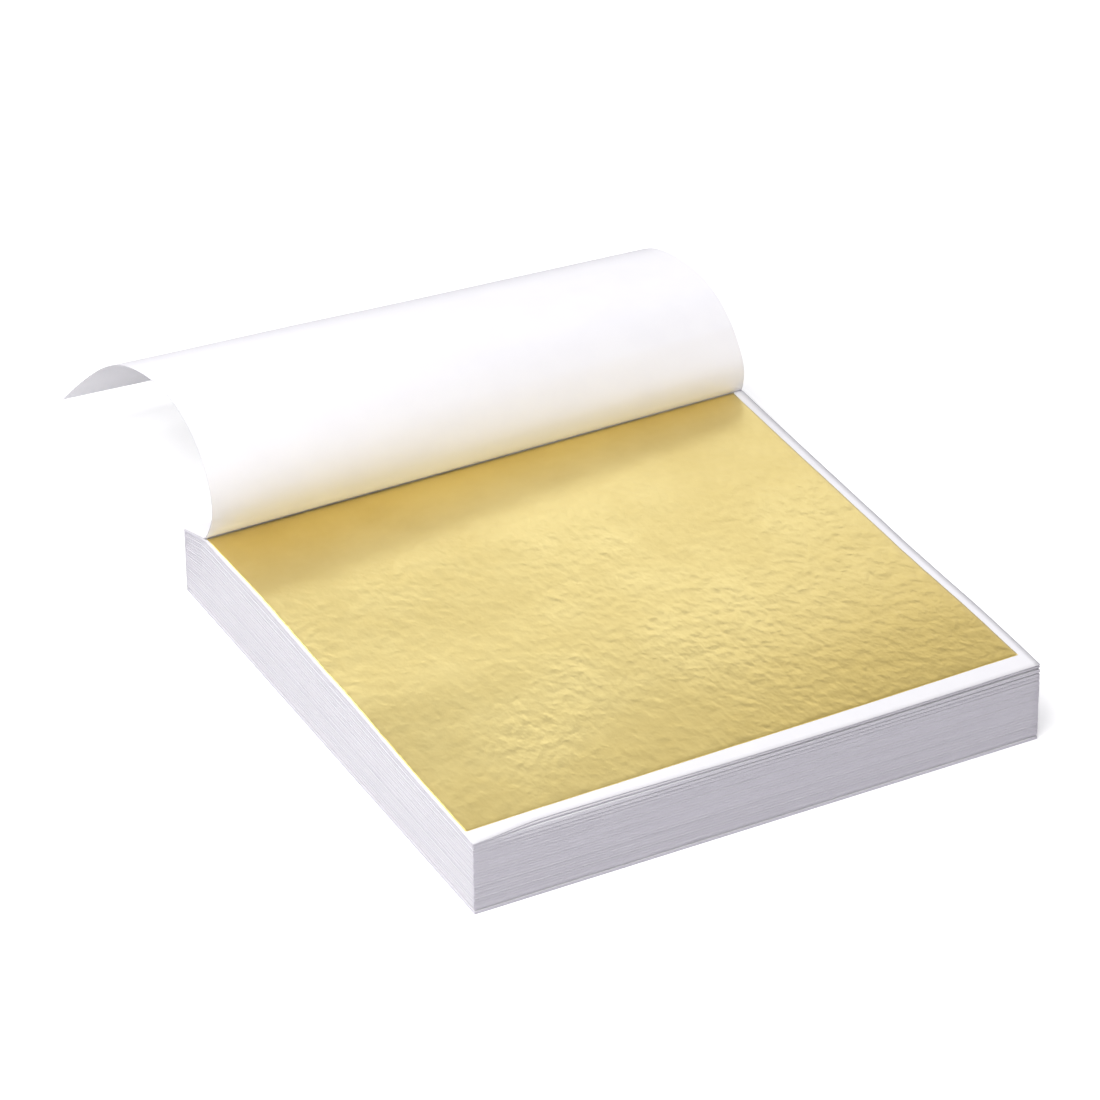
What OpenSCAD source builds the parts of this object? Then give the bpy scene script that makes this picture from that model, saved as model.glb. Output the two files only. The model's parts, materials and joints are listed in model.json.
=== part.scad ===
// A booklet of gold leaf: a glued pad of thin sheets with one leaf between each pair.
// The uppermost sheet is turned back in a curl and shows the first leaf.
// X runs along the front edge, Y towards the glued edge and Z up.
// The origin is the middle of the pad's underside.

/* [Leaf] */
// Width of a leaf, along the front edge
leaf_w = 85; // [60:1:110]
// Length of a leaf, from the front towards the glued edge
leaf_l = 80; // [60:1:110]
// Thickness of a leaf
leaf_t = 0.01; // [0.005:0.005:0.02]

/* [Sheets] */
// Thickness of a sheet
sheet_t = 0.09; // [0.06:0.01:0.12]
// Sheet left bare at the leaf's left side
left_margin = 0.6; // [0.4:0.1:4]
// Sheet left bare at the leaf's right side
right_margin = 1.4; // [0.4:0.1:4]
// Sheet left bare at the leaf's front edge
front_margin = 2.9; // [0.5:0.1:6]
// Sheet left bare between the leaf and the crease line
back_margin = 0.4; // [0.2:0.1:3]
// Sheets in each bundle
bundle_size = 12; // [9:1:14]
// How far the edges of neighbouring sheets step in and out
stagger = 0.16; // [0:0.02:0.3]

/* [Stack] */
// Play above each sheet and leaf at the front edge
front_slack = 0.0135; // [0.008:0.0005:0.02]
// Play above each sheet and leaf at the crease line
crease_slack = 0.0195; // [0.008:0.0005:0.03]
// Play above each sheet at the glued edge
bound_slack = 0.008; // [0.004:0.001:0.015]
// Play under a leaf
leaf_seat = 0.004; // [0.002:0.001:0.006]

/* [Binding] */
// Thickness of the back board
board_t = 0.5; // [0.3:0.1:1.5]
// Length of sheet between the crease line and the glued edge
root_l = 6.8; // [4:0.2:12]
// Thickness of the glue on the back edges
glue_t = 0.4; // [0.2:0.1:1]
// Rounding of the glue's long edges
glue_chamfer = 0.15; // [0.05:0.05:0.2]

/* [Turned page] */
// How far the turned page stops short of the pad's front edge
page_short = 0.3; // [0:0.1:2.8]
// Slope of the turned page where it leaves the crease line
foot_angle = 152; // [140:1:158]
// Slope of the turned page at its free edge
tip_angle = -38.2; // [-46:0.2:-34]
// How fast the curl opens from the foot to the free edge
curl_power = 3.5; // [3.1:0.02:3.8]
// How far the page's right side sags towards the inside of the curl
page_sag = 7.5; // [0:0.1:8]
// How far its right corner has turned inwards at the free edge
corner_sag = 4; // [0:0.2:5]
// Play between two strips of the page at a fold line
fold_gap = 0.15; // [0.1:0.01:0.25]
// Clearance of the closed page over the leaf
page_clear = 0.15; // [0.1:0.05:0.4]

/* [Hidden] */
bundle_n = 8;
single_n = 4;
curl_steps = 12;
strip_n = 10;
golden_turn = 137.5;
sag_place = 0.28;
sag_rise = 0.75;
left_share = 0.25;

sheet_n = bundle_n * bundle_size + single_n;
sheet_w = leaf_w + left_margin + right_margin;
open_l = front_margin + leaf_l + back_margin;
sheet_l = open_l + root_l;
pad_l = sheet_l + glue_t;
curl_step = (open_l - page_short) / curl_steps;

y_front = -pad_l / 2;
y_crease = y_front + open_l;
y_bound = y_front + sheet_l;
leaf_x = left_margin - sheet_w / 2;
leaf_y = y_front + front_margin;

front_pitch = sheet_t + leaf_t + front_slack;
crease_pitch = sheet_t + leaf_t + crease_slack;
bound_pitch = sheet_t + bound_slack;
crease_z = board_t + sheet_n * crease_pitch + page_clear + sheet_t / 2;

bundle_names = [for (b = [1:bundle_n]) str("sheets_", b)];
leaf_bundle_names = [for (b = [1:bundle_n]) str("leaves_", b)];
single_names = [for (s = [1:single_n]) str("top_sheet_", s)];
single_leaf_names = [for (s = [2:single_n]) str("leaf_", s)];
strip_names = [for (i = [1:strip_n]) str("page_strip_", i)];

// Height that one sheet and what lies on it take up at a place along the pad
function pitch(y) =
    lookup(y, [[y_front, front_pitch], [y_crease, crease_pitch], [y_bound, bound_pitch]]);

// Underside of sheet k, counted from 1 on the board
function sheet_z(k, y) = board_t + (k - 1) * pitch(y);

// Steps of the sheets' edges, which never repeat from one sheet to the next
function step(k, phase) = stagger / 2 * sin(k * golden_turn + phase);

// Each strip spans one step of the curl, and the last one the straight rest up to the free edge
function strip_end(i) = i < strip_n ? i : curl_steps;
function strip_l(i) = curl_step * (strip_end(i) - (i - 1));

// Slope of strip i and the place of the fold line at its foot
function slope(i) =
    let (middle = (i - 1 + strip_end(i)) / 2)
    tip_angle + (foot_angle - tip_angle) * pow(1 - middle / curl_steps, curl_power);
function fold_y(i) = i == 1 ? y_crease : fold_y(i - 1) + strip_l(i - 1) * cos(slope(i - 1));
function fold_z(i) = i == 1 ? crease_z : fold_z(i - 1) + strip_l(i - 1) * sin(slope(i - 1));

// Sag of the page's right side, from the crease line at 0 to the free edge at 1; the left side has a share of it
function sag(t) =
    let (sag_fall = sag_rise * (1 - sag_place) / sag_place)
    page_sag * pow(t / sag_place, sag_rise) * pow((1 - t) / (1 - sag_place), sag_fall)
    + corner_sag * pow(t, 2);

// Half the change of slope at the foot of strip i
function half_turn(i) = i > 1 && i <= strip_n ? (slope(i - 1) - slope(i)) / 2 : 0;

// How far the right end of the fold line at the foot of strip i lies off the line, along the strip and off it
function sag_shift(i, t) = sag(t) * [sin(half_turn(i)), -cos(half_turn(i))];

// A plate with the outline drawn in Y and Z, and its width along X
module plate(outline, left, width)
    translate([left, 0, 0])
        rotate([90, 0, 90])
            linear_extrude(width) polygon(outline);

// A thin layer with its underside through the given points
module layer(underside, thickness, left, width) {
    count = len(underside);
    lifted = [for (i = [1:count]) underside[count - i] + [0, thickness]];
    plate(concat(underside, lifted), left, width);
}

module sheet(k) {
    y_edge = y_front + abs(step(k, 90));
    layer([for (y = [y_edge, y_crease, y_bound]) [y, sheet_z(k, y)]],
          sheet_t, step(k, 0) - sheet_w / 2, sheet_w);
}

module leaf(k, shift = 0)
    layer([for (y = [leaf_y, leaf_y + leaf_l]) [y, sheet_z(k, y) + sheet_t + leaf_seat]],
          leaf_t, leaf_x + shift, leaf_w);

module sheet_bundle(b)
    color([0.93, 0.92, 0.95])
        for (k = [(b - 1) * bundle_size + 1 : b * bundle_size]) sheet(k);

module leaf_bundle(b)
    color([0.86, 0.74, 0.42])
        for (k = [(b - 1) * bundle_size + 1 : b * bundle_size]) leaf(k, step(k, 45));

// Single sheets and leaves are counted from the top down
module top_sheet(s)
    color([0.97, 0.97, 0.98]) sheet(sheet_n + 1 - s);

module single_leaf(s)
    color([0.86, 0.74, 0.42]) leaf(sheet_n + 1 - s, step(s, 45));

module top_leaf()
    color([0.88, 0.76, 0.42]) leaf(sheet_n);

module back_board()
    color([0.85, 0.84, 0.86])
        translate([-sheet_w / 2, y_front, 0]) cube([sheet_w, sheet_l, board_t]);

module spine_glue() {
    top = sheet_z(sheet_n + 1, y_bound) + sheet_t;
    back = y_bound + glue_t;
    color([0.94, 0.93, 0.9])
        plate([[y_bound, 0], [back - glue_chamfer, 0], [back, glue_chamfer],
               [back, top - glue_chamfer], [back - glue_chamfer, top], [y_bound, top]],
              -sheet_w / 2, sheet_w);
}

// The bound end of the turned page, which lies on the pad up to the crease line
module page_root() {
    lift = page_clear / root_l;
    ends = [y_crease + fold_gap / 2, y_bound];
    color([0.98, 0.98, 0.98])
        layer([for (y = ends) [y, sheet_z(sheet_n + 1, y) + lift * (y_bound - y)]],
              sheet_t, -sheet_w / 2, sheet_w);
}

// One strip of the turned page, twisted because its right side sags more
module page_strip(i) {
    half = sheet_w / 2;
    near = fold_gap / 2;
    far = strip_l(i) - (i < strip_n ? fold_gap / 2 : 0);
    near_sag = sag_shift(i, (i - 1) / curl_steps);
    far_sag = sag_shift(i + 1, strip_end(i) / curl_steps);
    near_left = left_share * near_sag;
    far_left = left_share * far_sag;
    corners = [[-half, near + near_left[0], near_left[1]],
               [-half, far - far_left[0], far_left[1]],
               [half, far - far_sag[0], far_sag[1]],
               [half, near + near_sag[0], near_sag[1]]];
    lower = [for (corner = corners) corner - [0, 0, sheet_t / 2]];
    upper = [for (corner = corners) corner + [0, 0, sheet_t / 2]];
    color([0.98, 0.98, 0.99])
        translate([0, fold_y(i), fold_z(i)])
            rotate([slope(i), 0, 0])
                polyhedron(concat(lower, upper),
                           [[4, 5, 6], [4, 6, 7], [2, 1, 0], [3, 2, 0],
                            [0, 1, 5, 4], [1, 2, 6, 5], [2, 3, 7, 6], [3, 0, 4, 7]]);
}

back_board();
spine_glue();
for (b = [1:bundle_n]) {
    sheet_bundle(b);
    leaf_bundle(b);
}
for (s = [1:single_n])
    top_sheet(s);
for (s = [2:single_n])
    single_leaf(s);
top_leaf();
page_root();
for (i = [1:strip_n])
    page_strip(i);
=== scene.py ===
# Gold leaf booklet: a glued pad of thin sheets, the first leaf open and its page curled back.
import json
import math

import bpy
import numpy as np
from mathutils import Matrix, Vector


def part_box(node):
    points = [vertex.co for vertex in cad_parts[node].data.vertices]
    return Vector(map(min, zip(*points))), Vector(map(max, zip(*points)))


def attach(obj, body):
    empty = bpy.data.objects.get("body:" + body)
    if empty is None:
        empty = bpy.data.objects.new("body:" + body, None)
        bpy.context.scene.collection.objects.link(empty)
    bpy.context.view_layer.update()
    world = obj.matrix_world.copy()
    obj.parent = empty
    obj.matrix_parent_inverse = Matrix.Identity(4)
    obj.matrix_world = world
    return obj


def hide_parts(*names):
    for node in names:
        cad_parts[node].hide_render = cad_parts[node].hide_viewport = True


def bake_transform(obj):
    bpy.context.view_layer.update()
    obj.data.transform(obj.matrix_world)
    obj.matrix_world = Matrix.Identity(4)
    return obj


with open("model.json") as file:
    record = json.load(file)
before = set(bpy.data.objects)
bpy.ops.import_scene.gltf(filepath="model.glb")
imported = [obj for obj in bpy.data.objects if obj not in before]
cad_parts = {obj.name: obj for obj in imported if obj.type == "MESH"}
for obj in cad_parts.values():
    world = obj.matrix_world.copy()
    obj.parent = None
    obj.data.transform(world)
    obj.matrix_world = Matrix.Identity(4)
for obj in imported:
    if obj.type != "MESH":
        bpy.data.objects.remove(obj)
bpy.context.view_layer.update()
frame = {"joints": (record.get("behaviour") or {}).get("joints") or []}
mm = 0.001
print("frame loaded")

# The pad's measures come from the frame
leafLow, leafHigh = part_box("top_leaf")
boardLow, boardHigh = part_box("back_board")
glueLow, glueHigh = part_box("spine_glue")
foldLines = [Vector(joint["pos_m"]) for joint in frame["joints"] if joint["name"].startswith("page_")]
padFront = boardLow.y
boundEdge = boardHigh.y
creaseY = foldLines[0].y
creaseZ = foldLines[0].z
padWidth = boardHigh.x - boardLow.x

pad = {
    "sheets": 100,  # sheets under the turned page
    "bundle": 12,  # sheets in one bundle
    "bundles": 8,
    "sheetThickness": 0.09 * mm,
    "leafThickness": 0.008 * mm,
    "leafPlay": 0.002 * mm,  # under a leaf
    "frontPitch": 0.1135 * mm,  # one sheet and its leaf, at the front edge
    "creasePitch": 0.1195 * mm,
    "boundPitch": 0.098 * mm,
}


# Curves and noise

def smoothStep(low, high, value):
    t = np.clip((value - low) / (high - low), 0, 1)
    return t * t * (3 - 2 * t)


def smoothCurve(stations, values, at):  # a cubic whose slopes follow the neighbouring stations
    stations = np.asarray(stations, float)
    values = np.asarray(values, float)
    at = np.clip(np.asarray(at, float), stations[0], stations[-1])
    slopes = np.gradient(values, stations)
    index = np.clip(np.searchsorted(stations, at, side="right") - 1, 0, len(stations) - 2)
    span = stations[index + 1] - stations[index]
    t = (at - stations[index]) / span
    start = values[index] * (2 * t**3 - 3 * t**2 + 1) + slopes[index] * span * (t**3 - 2 * t**2 + t)
    end = values[index + 1] * (3 * t**2 - 2 * t**3) + slopes[index + 1] * span * (t**3 - t**2)
    return start + end


def patchNoise(x, y, cell, seed):  # from -1 to 1, one random value for each cell
    table = np.random.default_rng(seed).uniform(-1, 1, (256, 256))
    gridX = np.asarray(x) / cell + 128.5
    gridY = np.asarray(y) / cell + 128.5
    column = np.floor(gridX).astype(int)
    row = np.floor(gridY).astype(int)
    alongX = smoothStep(0, 1, gridX - column)
    alongY = smoothStep(0, 1, gridY - row)

    def corner(i, j):
        return table[(column + i) % 256, (row + j) % 256]

    near = corner(0, 0) * (1 - alongX) + corner(1, 0) * alongX
    far = corner(0, 1) * (1 - alongX) + corner(1, 1) * alongX
    return near * (1 - alongY) + far * alongY


# Mesh code

def spread(low, high, count, crowding=0.0):  # stations, crowded towards both ends
    t = np.linspace(0, 1, count)
    eased = 0.5 - 0.5 * np.cos(np.pi * t)
    return low + (high - low) * (t * (1 - crowding) + eased * crowding)


def slab(top, bottom):  # closed solid between two grids: vertices, faces and which faces are edges
    rows, columns = top.shape[:2]
    vertices = np.concatenate([top.reshape(-1, 3), bottom.reshape(-1, 3)])
    numbers = np.arange(rows * columns).reshape(rows, columns)
    under = numbers + rows * columns
    a, b, c, d = numbers[:-1, :-1], numbers[1:, :-1], numbers[1:, 1:], numbers[:-1, 1:]
    upper = np.stack([a, b, c, d], -1).reshape(-1, 4)
    lower = (upper + rows * columns)[:, ::-1]
    sides = []
    for edge, below in (
        (numbers[:, 0], under[:, 0]),
        (numbers[-1, :], under[-1, :]),
        (numbers[::-1, -1], under[::-1, -1]),
        (numbers[0, ::-1], under[0, ::-1]),
    ):
        sides.append(np.stack([edge[1:], edge[:-1], below[:-1], below[1:]], -1))
    sides = np.concatenate(sides)
    faces = np.concatenate([upper, lower, sides])
    isEdge = np.zeros(len(faces), bool)
    isEdge[-len(sides):] = True
    return vertices, faces, isEdge


def meshPiece(name, slabs, material):
    vertices, faces, edges, offset = [], [], [], 0
    for part in slabs:
        vertices.append(part[0])
        faces.append(part[1] + offset)
        edges.append(part[2])
        offset += len(part[0])
    mesh = bpy.data.meshes.new(name)
    mesh.from_pydata(np.concatenate(vertices).tolist(), [], np.concatenate(faces).tolist())
    mesh.polygons.foreach_set("use_smooth", ~np.concatenate(edges))
    mesh.materials.append(material)
    mesh.update()
    piece = bpy.data.objects.new(name, mesh)
    bpy.context.scene.collection.objects.link(piece)
    return piece


# Shader helpers

class Shader:
    def __init__(self, tree):
        self.tree = tree

    def node(self, kind, **values):
        made = self.tree.nodes.new(kind)
        for key, value in values.items():
            setattr(made, key, value)
        return made

    def link(self, source, target):
        self.tree.links.new(source, target)

    def feed(self, socket, value):
        if hasattr(value, "links"):
            self.link(value, socket)
        else:
            socket.default_value = value

    def math(self, operation, first, second=0.0, clamp=False):
        made = self.node("ShaderNodeMath", operation=operation, use_clamp=clamp)
        self.feed(made.inputs[0], first)
        self.feed(made.inputs[1], second)
        return made.outputs[0]

    def remap(self, value, low, high, toLow=0.0, toHigh=1.0):
        made = self.node("ShaderNodeMapRange", interpolation_type="SMOOTHSTEP")
        self.feed(made.inputs["Value"], value)
        for socket, number in (("From Min", low), ("From Max", high), ("To Min", toLow), ("To Max", toHigh)):
            self.feed(made.inputs[socket], number)
        return made.outputs[0]

    def mix(self, factor, first, second):
        made = self.node("ShaderNodeMix", data_type="RGBA")
        self.feed(made.inputs[0], factor)
        self.feed(made.inputs[6], first)
        self.feed(made.inputs[7], second)
        return made.outputs[2]

    def noise(self, vector, scale, detail=2.0, roughness=0.5, distortion=0.0):
        made = self.node("ShaderNodeTexNoise")
        self.link(vector, made.inputs["Vector"])
        self.feed(made.inputs["Scale"], scale)
        made.inputs["Detail"].default_value = detail
        made.inputs["Roughness"].default_value = roughness
        made.inputs["Distortion"].default_value = distortion
        return made.outputs[0]

    def place(self, stretch=(1, 1, 1), shift=(0, 0, 0)):  # object coordinates, stretched
        source = self.node("ShaderNodeTexCoord")
        made = self.node("ShaderNodeMapping")
        self.link(source.outputs["Object"], made.inputs["Vector"])
        made.inputs["Scale"].default_value = stretch
        made.inputs["Location"].default_value = shift
        return made.outputs[0]

    def bump(self, height, strength, distance, normal=None):
        made = self.node("ShaderNodeBump")
        self.link(height, made.inputs["Height"])
        made.inputs["Strength"].default_value = strength
        made.inputs["Distance"].default_value = distance
        if normal is not None:
            self.link(normal, made.inputs["Normal"])
        return made.outputs[0]

    def group(self, tree, **inputs):
        made = self.node("ShaderNodeGroup", node_tree=tree)
        for key, value in inputs.items():
            self.feed(made.inputs[key], value)
        return made.outputs


def newGroup(name, inputs, outputs):
    tree = bpy.data.node_groups.new(name, "ShaderNodeTree")
    for label, value in inputs.items():
        socket = tree.interface.new_socket(label, in_out="INPUT", socket_type="NodeSocketFloat")
        socket.default_value = value
    for label in outputs:
        tree.interface.new_socket(label, in_out="OUTPUT", socket_type="NodeSocketFloat")
    shader = Shader(tree)
    return tree, shader, shader.node("NodeGroupInput").outputs, shader.node("NodeGroupOutput").inputs


def newMaterial(name, roughness):
    material = bpy.data.materials.new(name)
    material.use_nodes = True
    shader = Shader(material.node_tree)
    surface = material.node_tree.nodes["Principled BSDF"]
    surface.inputs["Roughness"].default_value = roughness
    return material, shader, surface.inputs


# Effects that several materials share

def makePaperFibre():  # cloudy pulp and short fibres
    tree, shader, given, made = newGroup("paperFibre", {"Scale": 1.0}, ["Cloud", "Fibre"])
    clouds = shader.noise(shader.place(), shader.math("MULTIPLY", given["Scale"], 160), 4, 0.6)
    acrossScale = shader.math("MULTIPLY", given["Scale"], 5200)
    across = shader.noise(shader.place((1, 0.22, 1)), acrossScale, 3, 0.6, 0.6)
    alongScale = shader.math("MULTIPLY", given["Scale"], 4300)
    along = shader.noise(shader.place((0.22, 1, 1), (0.3, 0, 0)), alongScale, 3, 0.6, 0.6)
    shader.link(clouds, made["Cloud"])
    shader.link(shader.math("MAXIMUM", across, along), made["Fibre"])
    return tree


def makeCutEdge():  # fine streaks along the cut edges of a stack, and the specks of a dull knife
    tree, shader, given, made = newGroup("cutEdge", {"Streaks": 1.0}, ["Streak", "Nick"])
    layers = shader.noise(shader.place((14, 14, 5200)), 1.0, 3, 0.7)
    nicks = shader.noise(shader.place((420, 420, 1300), (0.1, 0.2, 0)), 1.0, 3, 0.65)
    contrast = shader.math("MULTIPLY", shader.math("SUBTRACT", layers, 0.5), given["Streaks"])
    shader.link(shader.math("ADD", contrast, 0.5, True), made["Streak"])
    shader.link(nicks, made["Nick"])
    return tree


paperFibre = makePaperFibre()
cutEdge = makeCutEdge()


def makePaper(name, look):
    material, shader, surface = newMaterial(name, look["roughness"])
    fibre = shader.group(paperFibre, Scale=look["fibreScale"])
    edge = shader.group(cutEdge, Streaks=look["streaks"])
    facing = shader.node("ShaderNodeNewGeometry").outputs["Normal"]
    split = shader.node("ShaderNodeSeparateXYZ")
    shader.link(facing, split.inputs[0])
    if look["bends"]:  # a bent sheet turns its faces every way but shows cut edges only left and right
        sideways = shader.remap(shader.math("ABSOLUTE", split.outputs["X"]), 0.8, 0.95)
    else:
        sideways = shader.remap(shader.math("ABSOLUTE", split.outputs["Z"]), 0.75, 0.45)
    cloud = shader.remap(fibre["Cloud"], 0.3, 0.7)
    plain = shader.mix(cloud, look["shade"], look["white"])
    # painted shade: where the surface turns edge-on to the view its colour is darkened towards edgeLight,
    # which draws an outline where the page curves out of sight
    rim = shader.remap(shader.node("ShaderNodeLayerWeight").outputs["Facing"], 0.72, 1.0)
    plain = shader.mix(shader.math("MULTIPLY", rim, look["rim"]), plain, look["edgeLight"])
    # painted shade: faces that show a cut edge take the darker, lavender edge colours, standing for the shade
    # on the stack's sides and between its sheets, and on the page an outline along its cut edges
    cut = shader.mix(shader.remap(edge["Streak"], 0.25, 0.75), look["edgeDark"], look["edgeLight"])
    shader.link(shader.mix(sideways, plain, cut), surface["Base Color"])
    tooth = shader.bump(fibre["Fibre"], look["tooth"], 0.00004)
    nicked = shader.bump(edge["Nick"], look["nicks"], 0.00008, tooth)
    shader.link(nicked, surface["Normal"])
    surface["Specular IOR Level"].default_value = look["specular"]
    if look["shineThrough"]:
        through = shader.node("ShaderNodeBsdfTranslucent")
        shader.link(plain, through.inputs["Color"])
        blend = shader.node("ShaderNodeMixShader")
        blend.inputs[0].default_value = look["shineThrough"]
        nodes = material.node_tree.nodes
        shader.link(nodes["Principled BSDF"].outputs[0], blend.inputs[1])
        shader.link(through.outputs[0], blend.inputs[2])
        shader.link(blend.outputs[0], nodes["Material Output"].inputs["Surface"])
    return material


sheetLook = {
    # painted shade: the stack's paper is coloured darker than the turned page, which is the same paper, and
    # its cut edges darker and lavender, standing for the shade on the stack's sides and between its sheets
    "white": (0.71, 0.705, 0.725, 1),
    "shade": (0.69, 0.685, 0.71, 1),
    "edgeLight": (0.655, 0.635, 0.695, 1),
    "edgeDark": (0.585, 0.565, 0.63, 1),
    "roughness": 0.62,
    "specular": 0.3,
    "fibreScale": 1.0,
    "streaks": 0.45,
    "tooth": 0.25,
    "bends": False,
    "rim": 0.0,  # painted shade: how far the colour is darkened towards edgeLight where the paper turns edge-on to the view
    "nicks": 0.35,
    "shineThrough": 0.0,  # share of the light that thin paper lets through
}
pageLook = {
    **sheetLook,
    "white": (0.94, 0.935, 0.95, 1),
    "shade": (0.925, 0.92, 0.94, 1),
    # painted shade: the page's cut edges are coloured much darker than its faces, drawing a grey outline
    # along them
    "edgeLight": (0.50, 0.49, 0.53, 1),
    "edgeDark": (0.44, 0.43, 0.47, 1),
    "streaks": 0.6,
    "tooth": 0.2,
    "bends": True,
    "rim": 0.45,
    "nicks": 0.1,
    "shineThrough": 0.3,
}
boardLook = {
    **sheetLook,
    "white": (0.80, 0.795, 0.81, 1),
    "shade": (0.76, 0.755, 0.78, 1),
    "roughness": 0.75,
    "fibreScale": 0.7,
    "tooth": 0.6,
}
sheetPaper = makePaper("sheetPaper", sheetLook)
pagePaper = makePaper("pagePaper", pageLook)
boardCard = makePaper("boardCard", boardLook)


def makeGold():
    look = {
        "pale": (0.87, 0.705, 0.27, 1),
        "deep": (0.66, 0.49, 0.13, 1),
        "roughness": (0.30, 0.37),
    }
    material, shader, surface = newMaterial("goldLeaf", 0.36)
    here = shader.place()
    clouds = shader.noise(here, 55, 4, 0.6)
    split = shader.node("ShaderNodeSeparateXYZ")
    shader.link(here, split.inputs[0])
    # painted shade: the leaf's colour turns deeper towards the front and the right, standing for its
    # reflection falling off there; the cloudy mottling is the leaf's own tone
    across = shader.remap(split.outputs["X"], -0.035, 0.045, 0.0, 0.5)
    forward = shader.remap(split.outputs["Y"], 0.0, -0.045, 0.0, 0.5)
    frontRightShade = shader.remap(shader.math("ADD", across, forward), 0.25, 0.95, 0.0, 1.0)
    cloudy = shader.remap(clouds, 0.3, 0.7, 0.6, 1.0)
    tint = shader.math("MULTIPLY", cloudy, shader.math("SUBTRACT", 1.0, frontRightShade))
    shader.link(shader.mix(tint, look["deep"], look["pale"]), surface["Base Color"])
    surface["Metallic"].default_value = 1.0
    surface["Coat Weight"].default_value = 0.6
    surface["Coat Roughness"].default_value = 0.3
    grain = shader.noise(here, 900, 3, 0.6)
    shader.link(shader.remap(grain, 0.3, 0.7, *look["roughness"]), surface["Roughness"])
    drawn = shader.place((1, 0.72, 1))
    wrinkle = shader.noise(drawn, 560, 1, 0.5, 0.3)
    fine = shader.noise(drawn, 1100, 1, 0.5, 0.2)
    calm = shader.remap(split.outputs["Y"], 0.034, 0.008, 0.03, 1.0)
    patches = shader.remap(shader.noise(here, 30, 2, 0.5), 0.38, 0.62, 0.45, 1.0)
    strength = shader.math("MULTIPLY", calm, patches)
    height = shader.math("ADD", shader.math("MULTIPLY", wrinkle, 0.6), shader.math("MULTIPLY", fine, 0.3))
    shader.link(shader.bump(shader.math("MULTIPLY", height, strength), 0.5, 0.0005), surface["Normal"])
    return material


def makeGlue():
    look = {"clear": (0.93, 0.925, 0.90, 1), "milky": (0.86, 0.855, 0.83, 1)}
    material, shader, surface = newMaterial("spineGlue", 0.38)
    ripple = shader.noise(shader.place((30, 30, 700)), 1.0, 3, 0.6)
    runs = shader.noise(shader.place(), 240, 4, 0.6)
    tint = shader.mix(shader.remap(runs, 0.35, 0.65), look["milky"], look["clear"])
    shader.link(tint, surface["Base Color"])
    shader.link(shader.remap(runs, 0.3, 0.7, 0.3, 0.5), surface["Roughness"])
    shader.link(shader.bump(shader.math("ADD", ripple, runs), 0.5, 0.00015), surface["Normal"])
    surface["Coat Weight"].default_value = 0.15
    return material


goldLeaf = makeGold()
spineGlueFinish = makeGlue()
print("materials made")


# The stack's shape: how far its top lies above or below the frame's plane, and where sheets part

stack = {
    "stations": [0, 8, 17, 26, 34, 45, 57, 64, 70, 77, 83.3, 90.1],  # mm from the front edge
    "baseLeft": [-0.42, -0.44, -0.44, -0.34, -0.15, -0.10, 0, 0, 0, 0, 0, 0],  # mm, pressed as a whole
    "baseRight": [-0.70, -0.68, -0.60, -0.45, -0.35, -0.30, -0.30, -0.30, -0.30, -0.28, -0.20, -0.05],
    "liftLeft": [0.04, 0.06, 0.04, 0.14, 0.19, 0.16, 0.27, 0.38, 0.26, 0.04, 0, 0],  # mm, shared by the gaps
    "liftRight": [1.10, 1.14, 1.00, 0.58, 0.29, 0.16, 0.11, 0.08, 0.07, 0.05, 0.02, 0],
    "gaps": {  # share of the lift that opens above a sheet
        99: 0.17, 98: 0.03, 97: 0.26, 95: 0.03, 93: 0.18,
        89: 0.13, 84: 0.08, 78: 0.05, 70: 0.04, 58: 0.03,
    },
    "gapsLeft": {98: 0.5, 93: 0.15, 89: 0.25, 70: 0.1},
    "fanShare": 0.5,  # share of the right side's gaps that opens close to the near corner
    "fanReach": 7 * mm,
    "leftFade": 1.4,  # how fast the left side's gaps close towards the right
    "wander": 0.35,
    "wanderCell": 31 * mm,
    "cornerDip": 0.14 * mm,  # the near corner is pressed together
    "cornerReach": 5 * mm,
}


def fromFront(y):
    return (y - padFront) / mm


def framePitch(y):
    stations = [padFront, creaseY, boundEdge]
    return np.interp(y, stations, [pad["frontPitch"], pad["creasePitch"], pad["boundPitch"]])


def stackShift(count, x, y):  # how far the underside of sheet count lies from the frame's place for it
    across = np.clip((x + padWidth / 2) / padWidth, 0, 1)
    u = fromFront(y)
    base = (1 - across) * smoothCurve(stack["stations"], stack["baseLeft"], u)
    base = (base + across * smoothCurve(stack["stations"], stack["baseRight"], u)) * mm
    fan = 1 - np.exp(-(x + padWidth / 2).clip(0) / stack["fanReach"])
    opened = across * (1 - stack["fanShare"]) + fan * stack["fanShare"]
    liftRight = smoothCurve(stack["stations"], stack["liftRight"], u) * mm
    fade = (1 - across) ** stack["leftFade"]
    liftLeft = fade * smoothCurve(stack["stations"], stack["liftLeft"], u).clip(0) * mm
    base = base + (across - opened) * liftRight  # the fan presses the sheets under it
    corner = np.hypot(x + padWidth / 2, y - padFront)
    base = base - stack["cornerDip"] * np.exp(-corner / stack["cornerReach"])
    shift = base * (count - 1) / (pad["sheets"] - 1)
    for place in sorted({**stack["gaps"], **stack["gapsLeft"]}):
        if count > place:
            wander = 1 + stack["wander"] * patchNoise(x, y, stack["wanderCell"], 400 + place)
            gap = opened * liftRight.clip(0) * stack["gaps"].get(place, 0)
            gap = gap + liftLeft * stack["gapsLeft"].get(place, 0)
            shift = shift + gap * wander
    return shift


def sheetUnderside(count, x, y):
    return boardHigh.z + (count - 1) * framePitch(y) + stackShift(count, x, y)


# Sheets and leaves

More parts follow.
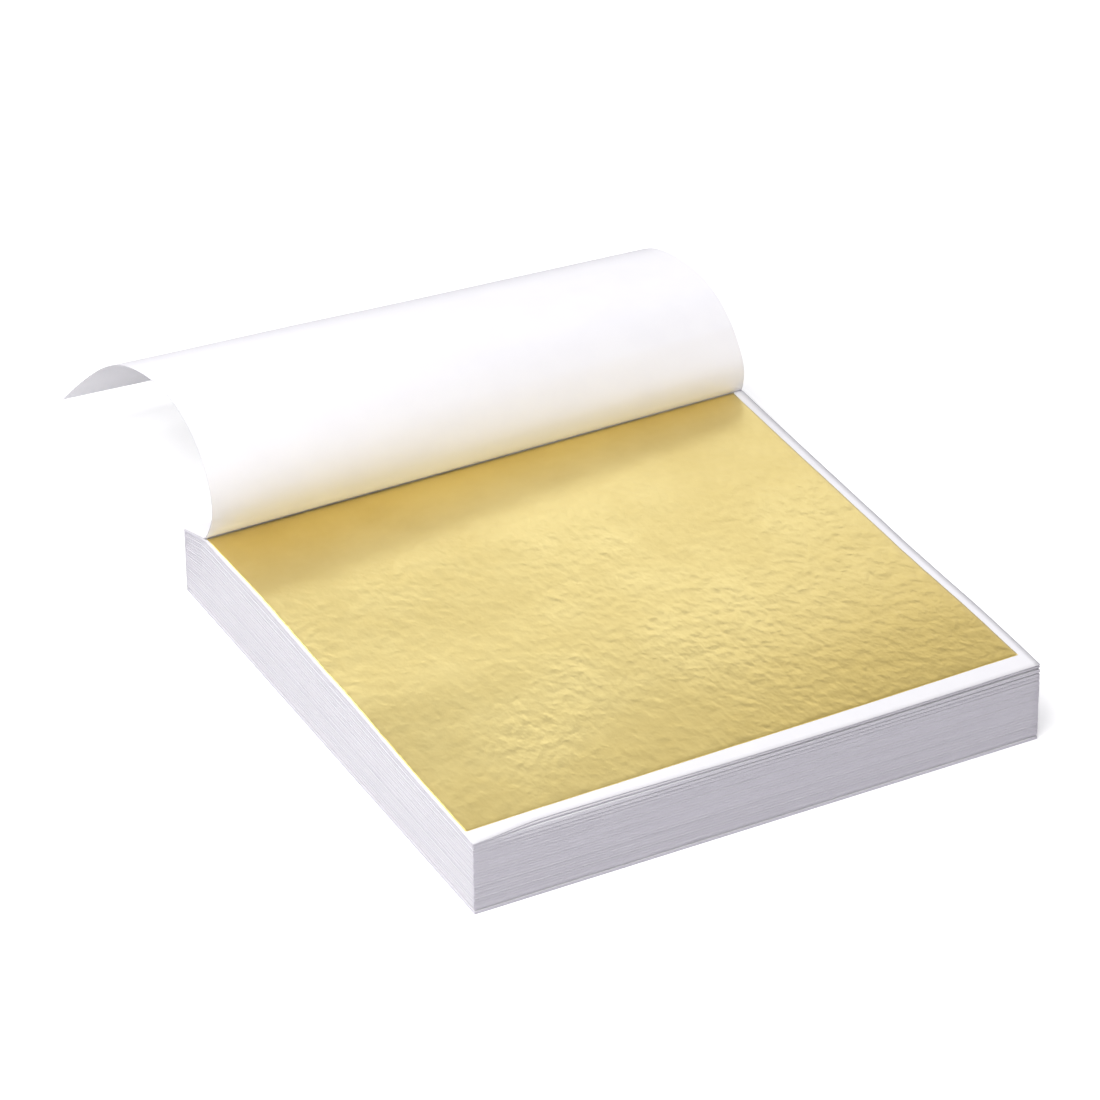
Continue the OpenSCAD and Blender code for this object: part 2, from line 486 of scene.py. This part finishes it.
sheetShape = {
    "stagger": 0.08 * mm,  # how far the edges of neighbouring sheets step in and out
    "ragged": 0.025 * mm,
    "raggedCell": 4 * mm,
    "crooked": 0.035 * mm,  # how far a whole edge may lie off
    "topOverhang": 0.14 * mm,  # the open sheet stands proud at the left
    "lowInset": 2,  # this many sheets on the board are cut short, which leaves a fine groove
    "inset": 0.3 * mm,
    "drawnSheets": [84, 94, 97, 98, 99, 100],
    "drawnBack": [0, 0.12, 0.30, 0.55, 0.62, 0.85],  # mm that their front edges draw back near the corner
    "drawnPlace": 11 * mm,
    "drawnReach": 2.2,  # in drawnPlace
    "goldenTurn": 137.5,
}


def sheetOutline(count, columns, rows, crowding=0.85):  # grid of x and y, with the sheet's own crooked edges
    turn = math.radians(count * sheetShape["goldenTurn"])
    generator = np.random.default_rng(1000 + count)
    wobble = generator.uniform(-1, 1, 4) * sheetShape["crooked"]
    left = -padWidth / 2 + sheetShape["stagger"] * math.sin(turn) + wobble[0]
    right = padWidth / 2 + sheetShape["stagger"] * math.sin(turn) + wobble[1]
    front = padFront + sheetShape["stagger"] * abs(math.cos(turn)) + abs(wobble[2])
    if count == pad["sheets"]:
        left -= sheetShape["topOverhang"]
    if count <= sheetShape["lowInset"]:
        left += sheetShape["inset"]
        front += sheetShape["inset"]
    along = spread(0, 1, rows, crowding)
    x, y = np.meshgrid(spread(0, 1, columns, crowding), along, indexing="ij")
    realY = front + (boundEdge - front) * y
    ragged, cell = sheetShape["ragged"], sheetShape["raggedCell"]
    raggedLeft = ragged * patchNoise(realY, realY * 0, cell, 2000 + count)
    raggedRight = ragged * patchNoise(realY, realY * 0, cell, 3000 + count)
    realX = (left + raggedLeft) * (1 - x) + (right + raggedRight) * x
    fromCorner = (realX + padWidth / 2) / sheetShape["drawnPlace"]
    drawn = np.interp(count, sheetShape["drawnSheets"], sheetShape["drawnBack"]) * mm
    past = (fromCorner - 1).clip(0) / sheetShape["drawnReach"]
    realY = realY + (1 - y) ** 3 * drawn * smoothStep(0, 1, fromCorner) * np.exp(-past ** 2)
    realY = realY + (1 - y) * ragged * patchNoise(realX, realX * 0, cell, 4000 + count)
    return realX, realY


def sheetSlab(count, columns=22, rows=22, crowding=0.85):
    x, y = sheetOutline(count, columns, rows, crowding)
    z = sheetUnderside(count, x, y)
    bottom = np.stack([x, y, z], -1)
    top = np.stack([x, y, z + pad["sheetThickness"]], -1)
    return slab(top, bottom)


def leafHeight(count, x, y):  # the underside of the leaf on sheet count
    return sheetUnderside(count, x, y) + pad["sheetThickness"] + pad["leafPlay"]


def leafSlab(count, columns=14, rows=14):
    turn = math.radians(count * sheetShape["goldenTurn"] + 45)
    shift = sheetShape["stagger"] * math.sin(turn)
    x, y = np.meshgrid(
        spread(leafLow.x + shift, leafHigh.x + shift, columns, 0.7),
        spread(leafLow.y, leafHigh.y, rows, 0.7),
        indexing="ij",
    )
    z = leafHeight(count, x, y)
    bottom = np.stack([x, y, z], -1)
    top = np.stack([x, y, z + pad["leafThickness"]], -1)
    return slab(top, bottom)


def settle(piece, body, slotName, *nodes):
    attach(piece, body)
    if nodes:
        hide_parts(*nodes)
    return piece


for bundle in range(1, pad["bundles"] + 1):
    counts = range((bundle - 1) * pad["bundle"] + 1, bundle * pad["bundle"] + 1)
    sheets = meshPiece(f"sheetBundle_{bundle}", [sheetSlab(count) for count in counts], sheetPaper)
    settle(sheets, "root", "sheet_paper", f"sheets_{bundle}")
    leaves = meshPiece(f"leafBundle_{bundle}", [leafSlab(count) for count in counts], goldLeaf)
    settle(leaves, "root", "gold_leaf", f"leaves_{bundle}")
for fromTop in range(1, 5):
    count = pad["sheets"] + 1 - fromTop
    detail = 70 if fromTop == 1 else 40
    sheet = meshPiece(f"topSheet_{fromTop}", [sheetSlab(count, detail, detail, 0.3)], sheetPaper)
    settle(sheet, "root", "sheet_paper", f"top_sheet_{fromTop}")
    if fromTop > 1:
        leaf = meshPiece(f"leaf_{fromTop}.fine", [leafSlab(count, 30, 30)], goldLeaf)
        settle(leaf, "root", "gold_leaf", f"leaf_{fromTop}")
print("sheets stacked")


# The open leaf, crinkled all over

openLeaf = {
    "grid": 0.36 * mm,
    "slip": 0.33 * mm,  # how far it lies to the left of its place
    "tuck": 0.3 * mm,  # how far it runs on under the foot of the page
    "seat": 0.02 * mm,  # play under the lowest crinkle
    "crinkles": [(4.0, 0.030), (1.8, 0.026), (0.95, 0.022)],  # mm across and mm high
    "rimDrop": 0.026 * mm,  # more than the seat: the rims sink a little into the sheet
    "rimWidth": 0.8 * mm,
    "rimThickness": 0.0005 * mm,
    "skew": 0.5 * mm,  # how far the front edge runs back towards the right
    "draw": 0.72,  # the crinkles are this much longer along the leaf
    "thickness": 0.006 * mm,
    "ragged": 0.03 * mm,
}


def crinkleMask(x, y):  # strong in the middle and at the right, calm near the page and at the front left
    across = (x - leafLow.x) / (leafHigh.x - leafLow.x)
    along = (y - leafLow.y) / (leafHigh.y - leafLow.y)
    nearPage = smoothStep(1.0, 0.72, along)
    strong = 0.35 + 0.65 * smoothStep(0.1, 0.55, across)
    patches = 0.75 + 0.5 * patchNoise(x, y, 14 * mm, 71)
    return np.clip(nearPage * strong * patches, 0.05, 1.2)


def makeOpenLeaf():
    columns = int((leafHigh.x - leafLow.x) / openLeaf["grid"])
    rows = int((leafHigh.y - leafLow.y) / openLeaf["grid"])
    x, y = np.meshgrid(
        np.linspace(leafLow.x - openLeaf["slip"], leafHigh.x, columns),
        np.linspace(leafLow.y, leafHigh.y + openLeaf["tuck"], rows),
        indexing="ij",
    )
    mask = crinkleMask(x, y)
    bend = 0.6 * mm * patchNoise(x, y, 5 * mm, 72)
    height = np.zeros_like(x)
    for number, (cell, rise) in enumerate(openLeaf["crinkles"]):
        ridges = patchNoise(x + bend, (y - bend) * openLeaf["draw"], cell * mm, 80 + number)
        height += rise * mm * (ridges * 0.5 + 0.5) * mask
    rim = np.minimum.reduce([x - x.min(), x.max() - x, y - y.min(), y.max() - y])
    inside = smoothStep(0, openLeaf["rimWidth"], rim)
    across = (x - x.min()) / (x.max() - x.min())
    y = y + openLeaf["skew"] * across * smoothStep(y.max(), y.min(), y)
    z = leafHeight(pad["sheets"], x, y) + openLeaf["seat"]
    z = z + height * inside - openLeaf["rimDrop"] * (1 - inside)
    edgeX = openLeaf["ragged"] * patchNoise(y, y * 0, 2.2 * mm, 91)
    edgeY = openLeaf["ragged"] * patchNoise(x, x * 0, 2.2 * mm, 92)
    thickness = np.where(rim > 0, openLeaf["thickness"], openLeaf["rimThickness"])
    top = np.stack([x + edgeX, y + edgeY, z + thickness], -1)
    bottom = np.stack([x + edgeX, y + edgeY, z], -1)
    piece = meshPiece("openLeaf", [slab(top, bottom)], goldLeaf)
    return settle(piece, "top_leaf", "gold_leaf", "top_leaf")


makeOpenLeaf()
print("leaf laid")


# The turned page: one curled sheet, cut into pieces at seams between its fold lines

page = {
    "footSlope": 152.0,  # slope where it leaves the crease line, in degrees
    "tipSlope": -38.2,
    "power": 3.5,  # how fast the curl opens
    "length": 83.0 * mm,
    "steps": 12,  # steps of the curl; the last strip holds the steps past the last fold line
    "skew": 2.3 * mm,  # how far the free edge has slid to the right
    "stations": [0, 0.04, 0.08, 0.18, 0.30, 0.45, 0.65, 0.85, 1.0],
    "leftSag": [0, 0.60, 0.85, 1.75, 2.10, 1.85, 0.40, 0.50, 1.00],  # mm towards the inside of the curl
    "rightSag": [0, 2.40, 4.70, 7.10, 7.70, 6.75, 4.10, 4.10, 5.00],
    "wave": 0.1 * mm,
    "footPlay": 0.03 * mm,  # the crease is pressed down to this height over the leaf
    "footReach": 0.03,  # share of the page's length over which that fades
    "rootPlay": 1.2 * mm,  # how far behind the crease line followFold starts the line along the root piece
    "thickness": 0.09 * mm,
    "columns": 64,
    "rowsPerStep": 9,
}


def pageSlope(t):
    span = page["footSlope"] - page["tipSlope"]
    return np.radians(page["tipSlope"] + span * (1 - t) ** page["power"])


def curlLine():  # the plain curl from the crease line to the free edge, finely stepped
    t = np.linspace(0, 1, 2001)
    middle = pageSlope((t[1:] + t[:-1]) / 2)
    step = page["length"] / 2000
    y = creaseY + np.concatenate([[0], np.cumsum(step * np.cos(middle))])
    z = creaseZ + np.concatenate([[0], np.cumsum(step * np.sin(middle))])
    return t, y, z


curlT, curlY, curlZ = curlLine()


def pageSag(t, across):
    left = smoothCurve(page["stations"], page["leftSag"], t) * mm
    right = smoothCurve(page["stations"], page["rightSag"], t) * mm
    return left * (1 - across) + right * across


def footDrop(across):
    leafTop = leafHeight(pad["sheets"], (across - 0.5) * padWidth, across * 0 + creaseY)
    leafTop = leafTop + openLeaf["seat"] + openLeaf["thickness"] + page["footPlay"]
    return (creaseZ - page["thickness"] / 2 - leafTop).clip(0)


def pageMiddle(t, across):  # a point of the middle surface; t is 0 at the crease and 1 at the free edge
    t, across = np.broadcast_arrays(np.asarray(t, float), np.asarray(across, float))
    angle = pageSlope(t)
    wave = page["wave"] * patchNoise(across * padWidth, t * page["length"], 19 * mm, 55)
    sag = np.maximum(pageSag(t, across) + wave * smoothStep(0, 0.15, t), 0)
    x = (across - 0.5) * padWidth + page["skew"] * t**2
    y = np.interp(t, curlT, curlY) + np.sin(angle) * sag
    pressed = footDrop(across) * (1 - smoothStep(0, page["footReach"], t))
    z = np.interp(t, curlT, curlZ) - np.cos(angle) * sag - pressed
    return np.stack([x, y, z], -1)


def rootMiddle(t, across):  # the bound end, from the glue at t = -1 to the crease at t = 0
    t, across = np.broadcast_arrays(np.asarray(t, float), np.asarray(across, float))
    crease = pageMiddle(0 * t, across)
    boundZ = boardHigh.z + pad["sheets"] * pad["boundPitch"] + page["thickness"] / 2 + 0.02 * mm
    y = crease[..., 1] + (boundEdge - crease[..., 1]) * -t
    z = crease[..., 2] + (boundZ - crease[..., 2]) * -t
    return np.stack([crease[..., 0], y, z], -1)


def pageGrid(stations, across):
    t, a = np.meshgrid(stations, across, indexing="ij")
    points = pageMiddle(np.maximum(t, 0), a)
    root = rootMiddle(np.minimum(t, 0), a)
    return np.where((t < 0)[..., None], root, points)


def makePage():
    steps = page["steps"]
    across = np.linspace(0, 1, page["columns"] + 1)
    seams = [(number + 0.5) / steps for number in range(len(foldLines))]
    stations = [np.linspace(-1, 0, 13)[:-1]]
    cuts = [0] + seams + [1.0]
    for first, last in zip(cuts[:-1], cuts[1:]):
        count = max(4, int(round((last - first) * steps * page["rowsPerStep"])))
        stations.append(np.linspace(first, last, count + 1)[:-1])
    stations = np.concatenate(stations + [np.array([1.0])])
    middle = pageGrid(stations, across)
    alongPage = np.gradient(middle, axis=0)
    alongWidth = np.gradient(middle, axis=1)
    normal = np.cross(alongPage, alongWidth)  # towards the inside of the curl
    normal /= np.linalg.norm(normal, axis=-1, keepdims=True)
    inner = middle + normal * page["thickness"] / 2
    outer = middle - normal * page["thickness"] / 2
    edges = [int(np.argmin(abs(stations - cut))) for cut in seams]
    bounds = [0] + edges + [len(stations) - 1]
    names = ["pageRoot"] + [f"pageCurl_{number}" for number in range(1, len(bounds) - 1)]
    for number, name in enumerate(names):
        first, last = bounds[number], bounds[number + 1]
        rows = slice(first, last + 1)
        piece = meshPiece(name, [slab(inner[rows], outer[rows])], pagePaper)
        shadeSmooth(piece, normal[rows])
        followFold(piece, number, middle[rows])


def shadeSmooth(piece, normal):  # both faces take the whole page's normals, so the pieces meet without a seam
    mesh = piece.data
    flat = normal.reshape(-1, 3)
    perVertex = np.concatenate([flat, -flat])
    corners = np.zeros(len(mesh.loops), int)
    mesh.loops.foreach_get("vertex_index", corners)
    normals = perVertex[corners]
    for polygon in mesh.polygons:
        if not polygon.use_smooth:
            normals[polygon.loop_start:polygon.loop_start + polygon.loop_total] = polygon.normal
    mesh.normals_split_custom_set(normals.tolist())


def followFold(piece, number, middle):
    nodes = ["page_root"] if number == 0 else [f"page_strip_{number}"]
    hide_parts(*nodes)
    if number == len(foldLines):
        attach(piece, f"page_{number}")
        return
    start, end = middle[0].mean(axis=0), middle[-1].mean(axis=0)
    widths = middle[[0, -1], -1] - middle[[0, -1], 0]
    if number == 0:
        start = np.array([end[0], creaseY + page["rootPlay"], creaseZ])
        widths = widths[1:]
    side = widths.mean(axis=0)
    side /= np.linalg.norm(side)
    way = end - start
    way -= side * (way @ side)
    way /= np.linalg.norm(way)
    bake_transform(piece)


makePage()
print("page curled")


# The back board and the padding glue

def roundedBlock(name, low, high, bevel, material, wobble, seed):
    x, y = np.meshgrid(spread(low.x, high.x, 46, 0.2), spread(low.y, high.y, 46, 0.2), indexing="ij")
    edge = np.minimum.reduce([x - low.x, high.x - x, y - low.y, high.y - y])
    fall = bevel * (1 - np.clip(edge / bevel, 0, 1)) ** 2
    wave = wobble * patchNoise(x, y, 12 * mm, seed) * smoothStep(0, 3 * mm, edge)
    top = np.stack([x, y, high.z - fall - abs(wave)], -1)
    bottom = np.stack([x, y, low.z + fall * 0.6], -1)
    return meshPiece(name, [slab(top, bottom)], material)


board = roundedBlock("backBoard", boardLow, boardHigh, 0.06 * mm, boardCard, 0.01 * mm, 31)
settle(board, "root", "board", "back_board")


def makeGlueSkin():
    look = {"columns": 90, "rows": 26, "wave": 0.05 * mm, "round": 0.14 * mm}
    x, z = np.meshgrid(
        np.linspace(glueLow.x, glueHigh.x, look["columns"]),
        spread(glueLow.z, glueHigh.z, look["rows"], 0.6),
        indexing="ij",
    )
    edge = np.minimum.reduce([x - glueLow.x, glueHigh.x - x, z - glueLow.z, glueHigh.z - z])
    fall = look["round"] * (1 - np.clip(edge / look["round"], 0, 1)) ** 2
    wave = look["wave"] * (patchNoise(x, z, 4 * mm, 33) + 0.6 * patchNoise(x, z * 4, 1.6 * mm, 34) - 1.6) / 2
    outer = np.stack([x, glueHigh.y - fall + wave, z], -1)
    inner = np.stack([x, np.full_like(x, glueLow.y + 0.01 * mm), z], -1)
    piece = meshPiece("glueSkin", [slab(outer[::-1], inner[::-1])], spineGlueFinish)
    return settle(piece, "root", "glue", "spine_glue")


makeGlueSkin()
print("binding made")


# Floor, light and camera

studio = {
    "floorSize": 6.0,
    "floor": (0.72, 0.72, 0.72, 1),
    "glowNear": 0.45,  # what the camera sees added under the object and far from it
    "glowFar": 1.0,
    "skyAmbient": (0.95, 0.93, 1.0, 1),
    "ambientStrength": (0.36, 0.50),  # from the front and from behind
    "backdropLow": (1.0, 1.0, 1.0, 1),
    "backdropHigh": (0.50, 0.50, 0.52, 1),
    "frontReflector": (1.0, 1.0, 0.98, 1),  # what the leaf throws back at the page
}
lamps = {
    "keySoftbox": {
        "at": (-0.31, -0.17, 0.58),
        "size": (0.50, 0.42),
        "power": 5.1,
        "tint": (1.0, 0.995, 0.985),
    },
    "backStrip": {
        "at": (0.085, 0.215, 0.150),
        "size": (0.22, 0.035),
        "power": 0.026,
        "tint": (0.97, 1.0, 1.05),
    },
    "backSoftbox": {
        "at": (-0.20, 0.65, 0.38),
        "size": (0.4, 0.3),
        "power": 1.6,
        "tint": (1.0, 1.0, 1.0),
    },
}


def makeFloor():
    half = studio["floorSize"] / 2
    x, y = np.meshgrid(np.linspace(-half, half, 9), np.linspace(-half, half, 9), indexing="ij")
    material, shader, surface = newMaterial("studioFloor", 0.9)
    surface["Base Color"].default_value = studio["floor"]
    seen = shader.node("ShaderNodeLightPath").outputs["Is Camera Ray"]
    away = shader.node("ShaderNodeVectorMath", operation="LENGTH")
    shader.link(shader.place(), away.inputs[0])
    glow = shader.remap(away.outputs["Value"], 0.09, 0.26, studio["glowNear"], studio["glowFar"])
    surface["Emission Color"].default_value = (1, 1, 1, 1)
    shader.link(shader.math("MULTIPLY", seen, glow), surface["Emission Strength"])
    surface["Specular IOR Level"].default_value = 0.0
    top = np.stack([x, y, np.full_like(x, -0.02 * mm)], -1)
    bottom = np.stack([x, y, np.full_like(x, -2 * mm)], -1)
    floor = meshPiece("floor", [slab(top, bottom)], material)


def makeWorld():
    world = bpy.data.worlds.new("studio")
    bpy.context.scene.world = world
    world.use_nodes = True
    shader = Shader(world.node_tree)
    background = world.node_tree.nodes["Background"]
    rays = shader.node("ShaderNodeLightPath").outputs
    direct = shader.math("ADD", rays["Is Camera Ray"], rays["Is Glossy Ray"])
    direct = shader.math("ADD", direct, rays["Is Transmission Ray"], True)
    split = shader.node("ShaderNodeSeparateXYZ")
    shader.link(shader.node("ShaderNodeTexCoord").outputs["Generated"], split.inputs[0])
    height = shader.remap(split.outputs["Z"], 0.35, 0.75)
    backdrop = shader.mix(height, studio["backdropLow"], studio["backdropHigh"])
    inFront = shader.math("MULTIPLY", shader.remap(split.outputs["Y"], 0.05, -0.15), rays["Is Glossy Ray"])
    backdrop = shader.mix(inFront, backdrop, studio["frontReflector"])
    shader.link(shader.mix(direct, studio["skyAmbient"], backdrop), background.inputs["Color"])
    ambient = shader.remap(split.outputs["Y"], -0.7, 0.6, *studio["ambientStrength"])
    shader.link(shader.math("MAXIMUM", ambient, direct), background.inputs["Strength"])


def makeLamps():
    aim = Vector((0, 0, 0.01))
    for name, lamp in lamps.items():
        data = bpy.data.lights.new(name, "AREA")
        data.shape = "RECTANGLE"
        data.size, data.size_y = lamp["size"]
        data.energy = lamp["power"]
        data.color = lamp["tint"]
        made = bpy.data.objects.new(name, data)
        made.location = lamp["at"]
        made.rotation_euler = (aim - Vector(lamp["at"])).to_track_quat("-Z", "Y").to_euler()
        made.visible_camera = False
        bpy.context.scene.collection.objects.link(made)


def makeCamera():
    view = {
        "target": (0.007197, 0.029703, 0),
        "distance": 0.87581,
        "azimuth": -27.507,
        "elevation": 32.323,
        "roll": -0.495,
        "lens": 198.3,
    }
    azimuth, elevation = math.radians(view["azimuth"]), math.radians(view["elevation"])
    flat = math.cos(elevation)
    back = Vector((math.sin(azimuth) * flat, -math.cos(azimuth) * flat, math.sin(elevation)))
    right = Vector((0, 0, 1)).cross(back).normalized()
    turn = Matrix((right, back.cross(right), back)).transposed().to_4x4()
    data = bpy.data.cameras.new("camera")
    data.lens = view["lens"]
    data.sensor_width = 36
    data.clip_start, data.clip_end = 0.05, 20
    camera = bpy.data.objects.new("camera", data)
    camera.matrix_world = (
        Matrix.Translation(Vector(view["target"]) + back * view["distance"])
        @ turn
        @ Matrix.Rotation(math.radians(view["roll"]), 4, "Z")
    )
    bpy.context.scene.collection.objects.link(camera)
    bpy.context.scene.camera = camera


makeFloor()
makeWorld()
makeLamps()
makeCamera()
bpy.context.scene.view_settings.view_transform = "Standard"
print("studio set")
